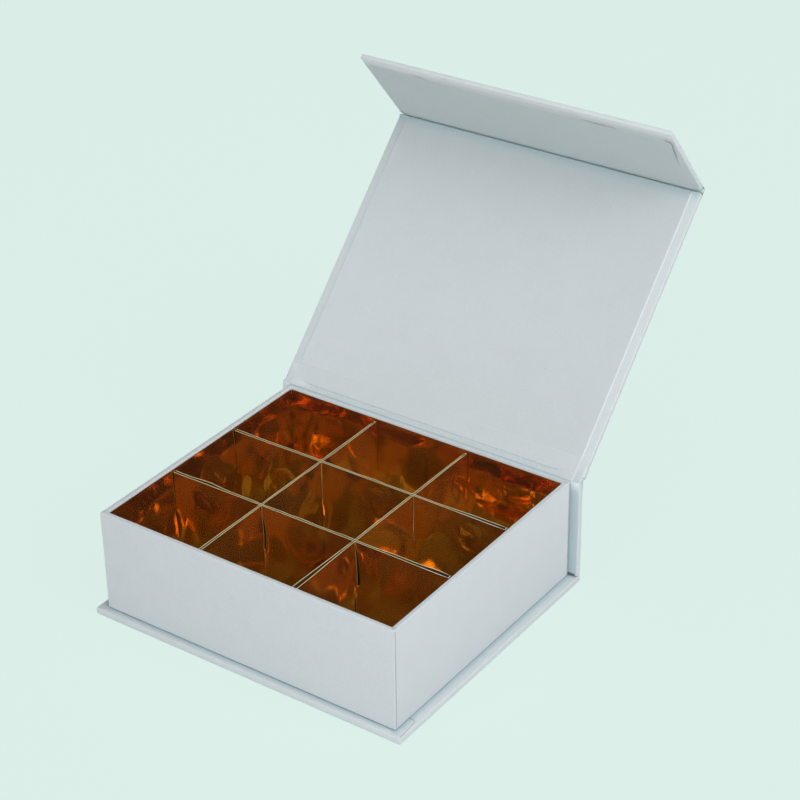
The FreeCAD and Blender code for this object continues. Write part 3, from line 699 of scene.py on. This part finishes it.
for name, x, spring in (("cross_divider_left", -cell_x, 0.15 * mm),
                        ("cross_divider_right", cell_x, 0.55 * mm)):
    divider = folded_divider(f"{name}_card", cross_low.y, inner_y - end_gap, (-cell_y, cell_y),
                             from_below=False, spring=spring, bulge=0)
    set_down(divider, Matrix.Translation((x, 0, 0)) @ Matrix.Rotation(math.pi / 2, 4, "Z"))
    finish_divider(divider, name, Vector((1, 0, 0)))


# Lid: a board wrapped like the base, standing open on its hinge. It is drawn closed, flat over the tray,
# and swung back. Its lining is a second sheet, glued inside over the wrap's turned-in edges.
def about(line, degrees):
    """A turn about a line along X through a (y, z) point in metres."""
    centre = Vector((0, line[0], line[1]))
    turn = Matrix.Rotation(math.radians(degrees), 4, "X")
    return Matrix.Translation(centre) @ turn @ Matrix.Translation(-centre)


lid_line = (54.62 * mm, 41.85 * mm)
lid_open = about(lid_line, -134)
half_width = wrap_high.x
lid_front, lid_back = -52.95 * mm, 54.42 * mm
lid_face, lid_inside, lid_outside = 41.40 * mm, 41.52 * mm, 43.42 * mm
# Painted shade: the lid's turned-in paper and its lining are painted darker and more teal over the last 4 mm
# before the flap fold, for the shade between lid and flap. The turned-in paper at the ends of the flap fold
# takes it too.
lid_shade = ((0.82, 0.935, 0.945),
             [lid_open @ Vector((0, lid_front + reach * mm, lid_face)) for reach in (4.2, 0.2)])
lid_turned_painted_shade = painted_shading(paper_stock("case_paper_inside_lid", (0.590, 0.640, 0.662)), *lid_shade)
lid_wrap = block("lid_wrap_paper", (-half_width, lid_front, lid_inside), (half_width, lid_back, lid_outside),
                 [case_paper, case_bend, lid_turned_painted_shade])
bend_edges(lid_wrap, case_round, lambda middle, along: True)
restock(lid_wrap, lid_turned_painted_shade, lambda middle, normal: normal.z < -0.99)
open_faces(lid_wrap, lambda middle, normal: normal.z < -0.99, turn_in)
thicken(lid_wrap, paper)
set_down(lid_wrap, lid_open)
smooth(lid_wrap)
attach(lid_wrap, "lid")
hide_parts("lid_wrap")

# Painted shade: the lid lining takes the same painted shade near the flap fold.
lid_lining_painted_shade = painted_shading(paper_stock("lining_paper_inside_lid", (0.560, 0.615, 0.635)), *lid_shade)
lining_back, edge_rise, edge_round = lid_back - 6 * mm, 0.12 * mm, 0.12 * mm
edge_inset, edge_press, edge_band, left_shade_band = 0.5 * mm, 0.11 * mm, 0.45 * mm, 0.14 * mm
lid_lining = block("lid_lining_paper", (-lining_end, lid_front + 0.5 * mm, lid_face),
                   (lining_end, lining_back, lid_inside), [lid_lining_painted_shade, lining_painted_highlight, lining_painted_shade])
pick(lid_lining, "faces", lambda middle, normal: normal.z < -0.9)
bpy.ops.mesh.inset(thickness=edge_inset)
pick(lid_lining, "edges", lambda middle, along: near(middle.z, lid_face) and abs(along.y) > 0.9
     and near(abs(middle.x), lining_end))
bpy.ops.transform.translate(value=(0, 0, -edge_rise))
pick(lid_lining, "edges", lambda middle, along: middle.z < lid_face + hair and abs(along.x) > 0.9
     and near(middle.y, lining_back))
bpy.ops.transform.translate(value=(0, 0, edge_press))
bend_edges(lid_lining, edge_round, lambda middle, along: abs(along.y) > 0.9
           and near(abs(middle.x), lining_end) and middle.z < lid_face, 2)
# Painted highlight along the lining's right edge and painted shade along its left edge.
restock(lid_lining, lining_painted_highlight, lambda middle, normal: middle.x > lining_end - edge_band)
restock(lid_lining, lining_painted_shade, lambda middle, normal: middle.x < -lining_end + left_shade_band)
set_down(lid_lining, lid_open)
smooth(lid_lining)
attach(lid_lining, "lid")
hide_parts("lid_liner")

# Lid hinge: outside, the case paper crosses from the spine to the lid, folded to a V while the lid is open.
# Inside, the lining crosses. At both ends the turned-in case paper crosses too, a little crumpled.
hinge_route = [(58.20, 43.29), (56.02, 41.03), (55.91, 40.90), (55.84, 40.89), (55.40, 41.31), (54.92, 41.78),
               (54.80, 41.86), (54.70, 41.86), (54.63, 41.76), (54.58, 41.50), (54.54, 41.10), (54.53, 40.60),
               (54.53, 39.20), (54.53, 37.70)]
strip_end = half_width - 0.05 * mm
lid_hinge = paper_strip("lid_hinge_paper", [(y * mm, z * mm) for y, z in hinge_route], -strip_end, strip_end,
                        [case_paper])
thicken(lid_hinge, 0.1 * mm)
smooth(lid_hinge)
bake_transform(lid_hinge)
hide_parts("lid_hinge_strip")

crease_route = [(52.70, 41.105), (53.30, 41.105), (53.90, 41.105), (54.25, 41.11), (54.42, 41.20),
                (54.52, 41.45), (54.56, 41.74), (54.55, 41.92), (54.48, 42.15), (54.43, 42.31),
                (54.55, 42.44), (55.48, 43.39), (56.52, 44.47), (57.56, 45.55), (58.62, 46.65)]
bridge_route = [(52.30, 41.12), (52.55, 41.20), (52.90, 41.36), (53.30, 41.60), (53.70, 41.88),
                (54.10, 42.19), (54.45, 42.49), (54.80, 42.81), (55.15, 43.15), (55.50, 43.50),
                (55.90, 43.89), (56.35, 44.33), (56.90, 44.88), (57.60, 45.59), (58.62, 46.65)]
corner_route = [(52.20, 38.00), (52.20, 39.40), (52.24, 40.00), (52.38, 40.55), (52.70, 41.10),
                (53.20, 41.55), (53.70, 41.95), (54.20, 42.36), (54.70, 42.80), (55.15, 43.20),
                (55.60, 43.62), (56.20, 44.20), (56.90, 44.86), (57.60, 45.54), (58.62, 46.55)]


def hinge_crease(name, left, right, inner_route, outer_route, reach, stocks):
    """Paper across the inside of the lid hinge, taking its outer route over a reach at the ends."""
    cells = 80
    crease = paper_strip(name, [(0, row) for row in range(len(inner_route))], left, right, stocks, cells)
    for vertex in crease.data.vertices:
        x = vertex.co.x
        if near(abs(x), lining_end - (right - left) / cells):
            x = math.copysign(lining_end - edge_band, x)
        inner, outer = (Vector(route[round(vertex.co.z)]) * mm for route in (inner_route, outer_route))
        y, z = inner.lerp(outer, ease(abs(x), *reach))
        vertex.co = (x, y, z)
    recess_top = 40.6 * mm
    # The second paper goes on the lining's right edge band and on the ends below the recess line: the painted
    # highlight or the painted shade and light of the recess.
    restock(crease, stocks[1], lambda middle, normal: lining_end - edge_band - hair < middle.x < lining_end
            or abs(middle.x) > lining_end and middle.z < recess_top)
    thicken(crease, 0.06 * mm)
    smooth(crease)
    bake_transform(crease)


hinge_crease("lid_hinge_lining", -lining_end, lining_end, crease_route, bridge_route, (50 * mm, 59.5 * mm),
             [lining_paper, lining_painted_highlight])
# Painted shade: the turned-in paper across the hinge ends is painted darker lower down, from 46 mm to 40.5
# mm, for the shade in the hinge.
hinge_end = painted_shading(paper_stock("case_paper_painted_shade_in_hinge", (0.590, 0.640, 0.662)), (0.86, 0.90, 0.91),
                   ((0, 0, 46 * mm), (0, 0, 40.5 * mm)))
closed_route = [(52.20, 38.00), (52.20, 39.40), (52.25, 40.20), (52.45, 40.85), (52.90, 41.10),
                (53.60, 41.25), (54.20, 41.45), (54.50, 41.70), (54.65, 41.85), (54.85, 41.88),
                (55.20, 42.10), (55.70, 42.90), (56.60, 44.20), (57.50, 45.30), (58.62, 46.55)]
for name, left, right in (("lid_hinge_end_left", -half_width + 0.1 * mm, -lining_end),
                          ("lid_hinge_end_right", lining_end, half_width - 0.1 * mm)):
    hinge_crease(name, left, right, corner_route, closed_route,
                 (half_width - 0.8 * mm, half_width - 0.15 * mm), [hinge_end, case_recess_painted_shade_and_light])

# Flap: the narrow front board, wrapped in one with the lid, that folds down over the tray's front.
# Drawn closed, it is carried with the lid and opened a little on its own fold.
flap_line = (-55.045 * mm, 43.345 * mm)
flap_angle = -6.3
flap_open = lid_open @ about(flap_line, flap_angle)
flap_low, flap_high = 2.80 * mm, 41.25 * mm
flap_outside, flap_inside, flap_face = -55.12 * mm, -53.22 * mm, -53.10 * mm
# Painted light: the flap's turned-in front edge is painted lighter over the last 5 mm towards the edge, for
# the light on its rounded edge. The front turn-in takes the same paper.
flap_edge_painted_light = painted_shading(paper_stock("case_paper_at_flap_edge", (0.580, 0.630, 0.652)), (1.34, 1.29, 1.27),
                   [flap_open @ Vector((0, flap_inside, flap_low + reach * mm)) for reach in (5.2, 0.3)])
flap_wrap = block("flap_wrap_paper", (-half_width, flap_outside, flap_low),
                  (half_width, flap_inside, flap_high), [case_paper, case_bend, flap_edge_painted_light])
bend_edges(flap_wrap, case_round, lambda middle, along: True)
restock(flap_wrap, flap_edge_painted_light, lambda middle, normal: normal.y > 0.99)
open_faces(flap_wrap, lambda middle, normal: normal.y > 0.99, turn_in)
thicken(flap_wrap, paper)
set_down(flap_wrap, flap_open)
smooth(flap_wrap)
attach(flap_wrap, "flap")
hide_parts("flap_wrap")


# Flap lining: a sheet of the same lining paper, glued on last, by hand. Its free edge is cut a little
# out of true and stands off the board over the magnets and along the right end.
def swell(value, middle, reach):
    """A soft hump, 1 in the middle and 0 a reach away."""
    return 1 - ease(abs(value - middle), 0, reach)


bpy.ops.object.select_all(action="DESELECT")
cells_across, cells_out = 150, 80
bpy.ops.mesh.primitive_grid_add(x_subdivisions=cells_across, y_subdivisions=cells_out, size=1)
flap_lining = bpy.context.object
flap_lining.name = "flap_lining_paper"
for stock in (lining_paper, lining_painted_highlight):
    flap_lining.data.materials.append(stock)
# Painted highlight: the lining's free edge, its last row, takes the lighter lining paper.
restock(flap_lining, lining_painted_highlight, lambda middle, normal: middle.y < -0.5 + 1 / cells_out)
left_end, right_end, right_flare = -60.3, 60.2, 2
longest, left_skew, right_skew = 35.6, 1.6, 0.4
left_magnet, right_magnet = -39, 34
for vertex in flap_lining.data.vertices:
    across, out = vertex.co.x + 0.5, 0.5 - vertex.co.y
    right = right_end + right_flare * max(0, (out - 0.53) / 0.47)
    x = left_end + across * (right - left_end)
    reach = longest - left_skew * ease(across, 0, 0.45) - right_skew * ease(across, 0.6, 1)
    lift = (0.34 * swell(x, right_magnet, 13) + 0.28 * swell(x, left_magnet, 8)) * ease(out, 0.95, 1)
    lift = max(lift, 0.42 * ease(across, 0.97, 1) * ease(out, 0.5, 0.8))
    vertex.co = (x * mm, flap_face + lift * mm, flap_high - out * reach * mm)
face_outwards(flap_lining)
if flap_lining.data.polygons[0].normal.y < 0:
    flap_lining.data.flip_normals()
thicken(flap_lining, lining, rim=1)
set_down(flap_lining, flap_open)
smooth(flap_lining)
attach(flap_lining, "flap")
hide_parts("flap_liner")

# Flap's front turn-in: the strip of case paper that is folded in last over the flap's front edge.
# Its right end is cut on the skew and lies over the side's turn-in, under the lining.
front_end, front_edge, front_face = 63.1 * mm, flap_low + 0.45 * mm, flap_inside + 0.1 * mm
front_turned = block("flap_front_turn_in", (-63 * mm, flap_inside, front_edge),
                     (front_end, front_face, flap_low + 8 * mm), [flap_edge_painted_light, cut_edge_painted_shadow])
bpy.ops.object.mode_set(mode="EDIT")
bpy.ops.mesh.select_all(action="SELECT")
bpy.ops.mesh.bisect(plane_co=(front_end, 0, front_edge), plane_no=(4.45, 0, 0.8), use_fill=True,
                    clear_outer=True)
bpy.ops.object.mode_set(mode="OBJECT")
bend_edges(front_turned, 0.08 * mm, lambda middle, along: near(middle.y, front_face) and middle.x > tray_x
           and abs(along.z) > 0.5, 2)
set_down(front_turned, flap_open)
smooth(front_turned)
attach(front_turned, "flap")


# Flap fold: the case paper bends round outside where lid and flap meet, and the lining dips into the groove
# between their boards inside. Both bend with the flap.
def folded_with_flap(piece, start, end):
    """Turn a strip that was drawn closed by its share of the flap's opening, then carry it with the lid."""
    start, end = Vector(start), Vector(end)
    for vertex in piece.data.vertices:
        share = ease((vertex.co - start).dot(end - start) / (end - start).length_squared, 0, 1)
        vertex.co = about(flap_line, share * flap_angle) @ vertex.co
    set_down(piece, lid_open)
    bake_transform(piece)


fold_route = [(-55.13, 39.20), (-55.13, 41.25), (-55.13, 42.60), (-55.13, 42.95), (-55.10, 43.13),
              (-55.02, 43.29), (-54.88, 43.38), (-54.70, 43.43), (-54.30, 43.43), (-52.95, 43.43),
              (-50.90, 43.43)]
flap_fold = paper_strip("flap_fold_paper", [(y * mm, z * mm) for y, z in fold_route], -strip_end, strip_end,
                        [case_paper])
thicken(flap_fold, 0.1 * mm)
folded_with_flap(flap_fold, (0, -54.84 * mm, 43.39 * mm), (0, -55.09 * mm, 43.14 * mm))
smooth(flap_fold)
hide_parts("flap_hinge_strip")

dip_route = [(-51.90, 41.39), (-52.40, 41.395), (-52.72, 41.405), (-52.88, 41.46), (-52.97, 41.58),
             (-52.99, 41.90), (-53.00, 43.00), (-53.06, 43.08), (-53.16, 43.00), (-53.93, 42.22),
             (-54.74, 41.42), (-54.80, 41.36), (-54.72, 41.30), (-53.22, 41.285), (-53.12, 41.265),
             (-53.095, 41.20), (-53.095, 40.50)]
pinch_route = [(-51.90, 41.39), (-52.40, 41.395), (-52.70, 41.40), (-52.90, 41.42), (-53.05, 41.75),
               (-53.15, 42.10), (-53.30, 42.60), (-53.60, 43.10), (-54.00, 43.32), (-54.50, 43.35),
               (-54.80, 43.30), (-54.98, 43.15), (-55.05, 42.90), (-55.05, 42.40), (-54.80, 41.80),
               (-53.70, 41.28), (-53.095, 40.50)]
# Painted light: a lighter lining paper inside the flap groove, against the shade that falls there.
groove_painted_light = paper_stock("lining_paper_painted_light_in_flap_groove", (0.66, 0.735, 0.755))
# Painted shade: a darker teal lining paper on the dip at the flap fold, for the soft shade there.
fold_lip_painted_shade = paper_stock("lining_paper_painted_shade_at_flap_fold", (0.47, 0.565, 0.585))
groove_end, groove_mouth, groove_front = half_width - 1.2 * mm, 41.65 * mm, -53.4 * mm
for name, left, right, stock, slot in (
        ("flap_fold_lining", -lining_end, lining_end, fold_lip_painted_shade, "lining_paper"),
        ("flap_fold_end_left", -half_width + 0.1 * mm, -lining_end, lid_turned_painted_shade, "case_paper"),
        ("flap_fold_end_right", lining_end, half_width - 0.1 * mm, lid_turned_painted_shade, "case_paper")):
    rows = [(0, row) for row in range(len(dip_route))]
    dip = paper_strip(name, rows, left, right, [stock, groove_painted_light], cells=60)
    for vertex in dip.data.vertices:
        inner, outer = (Vector(route[-1 - round(vertex.co.z)]) * mm for route in (dip_route, pinch_route))
        y, z = inner.lerp(outer, ease(abs(vertex.co.x), half_width - 0.9 * mm, half_width - 0.15 * mm))
        vertex.co = (vertex.co.x, y, z)
    restock(dip, groove_painted_light, lambda middle, normal: abs(middle.x) < groove_end
            and (middle.z > groove_mouth or middle.y < groove_front))
    thicken(dip, 0.05 * mm)
    folded_with_flap(dip, (0, -53.84 * mm, 42.31 * mm), (0, -54.02 * mm, 42.13 * mm))
    smooth(dip)

# Studio: a pale mint floor that runs out past the picture, three soft boxes, a dim card that the gold
# mirrors from the front left, and a long lens.
bpy.ops.object.select_all(action="DESELECT")
bpy.ops.mesh.primitive_circle_add(vertices=96, radius=9, fill_type="NGON", location=(0, 0, -0.0001))
floor = bpy.context.object
floor.name = "studio_floor"
mint = bpy.data.materials.new("mint_floor")
mint.use_nodes = True
nodes, links = mint.node_tree.nodes, mint.node_tree.links
shader = nodes["Principled BSDF"]
shader.inputs["Base Color"].default_value = (0.64, 0.71, 0.69, 1)
shader.inputs["Roughness"].default_value = 0.9
shader.inputs["Specular IOR Level"].default_value = 0.1
glow = nodes.new("ShaderNodeEmission")
glow.inputs["Color"].default_value = (0.727, 0.879, 0.829, 1)
rays = nodes.new("ShaderNodeLightPath")
seen = nodes.new("ShaderNodeMath")
seen.operation = "ADD"
shown = nodes.new("ShaderNodeMath")
shown.operation = "ADD"
shown.use_clamp = True
share = nodes.new("ShaderNodeMath")
share.operation = "MULTIPLY"
share.inputs[1].default_value = 0.92
mixed = nodes.new("ShaderNodeMixShader")
links.new(rays.outputs["Is Camera Ray"], seen.inputs[0])
links.new(rays.outputs["Is Glossy Ray"], seen.inputs[1])
links.new(seen.outputs["Value"], shown.inputs[0])
links.new(rays.outputs["Is Transmission Ray"], shown.inputs[1])
links.new(shown.outputs["Value"], share.inputs[0])
links.new(share.outputs["Value"], mixed.inputs["Fac"])
links.new(shader.outputs["BSDF"], mixed.inputs[1])
links.new(glow.outputs["Emission"], mixed.inputs[2])
links.new(mixed.outputs["Shader"], nodes["Material Output"].inputs["Surface"])
floor.data.materials.append(mint)

world = bpy.data.worlds.new("dim_studio")
bpy.context.scene.world = world
world.use_nodes = True
nodes, links = world.node_tree.nodes, world.node_tree.links
toward = nodes.new("ShaderNodeTexCoord")
rise = nodes.new("ShaderNodeSeparateXYZ")
dome = nodes.new("ShaderNodeValToRGB")
for place, tone in ((0.25, 0.08), (0.5, 0.13), (0.75, 0.26)):
    dome.color_ramp.elements.new(place).color = (tone, tone * 1.02, tone * 1.02, 1)
dome.color_ramp.elements[0].color = (0.06, 0.061, 0.061, 1)
dome.color_ramp.elements[-1].color = (0.36, 0.367, 0.367, 1)
links.new(toward.outputs["Generated"], rise.inputs["Vector"])
links.new(rise.outputs["Z"], dome.inputs["Fac"])
links.new(dome.outputs["Color"], nodes["Background"].inputs["Color"])
aim = Vector((0, 0, 0.04))
for name, place, width, height, watts in (("right_box", (1.80, -0.16, 1.26), 1.9, 1.9, 38),
                                          ("front_box", (-0.15, -2.14, 0.62), 2.0, 1.1, 24),
                                          ("left_card", (-1.25, -1.70, 1.15), 1.0, 1.0, 1.0),
                                          ("top_box", (0.0, -0.2, 2.2), 1.8, 1.8, 9)):
    lamp = bpy.data.lights.new(name, "AREA")
    lamp.shape = "RECTANGLE"
    lamp.size = width
    lamp.size_y = height
    lamp.energy = watts
    holder = bpy.data.objects.new(name, lamp)
    bpy.context.scene.collection.objects.link(holder)
    holder.location = place
    holder.rotation_euler = (aim - Vector(place)).to_track_quat("-Z", "Y").to_euler()
bpy.context.scene.cycles.glossy_bounces = 12

camera_data = bpy.data.cameras.new("photo_camera")
camera = bpy.data.objects.new("photo_camera", camera_data)
bpy.context.scene.collection.objects.link(camera)
camera_data.lens = 100.91
camera_data.sensor_width = 36
camera.location = (386.86 * mm, -505.16 * mm, 448.12 * mm)
camera.rotation_euler = [math.radians(angle) for angle in (59.82, 0.74, 35.07)]
bpy.context.scene.camera = camera
bpy.context.scene.view_settings.view_transform = "Standard"
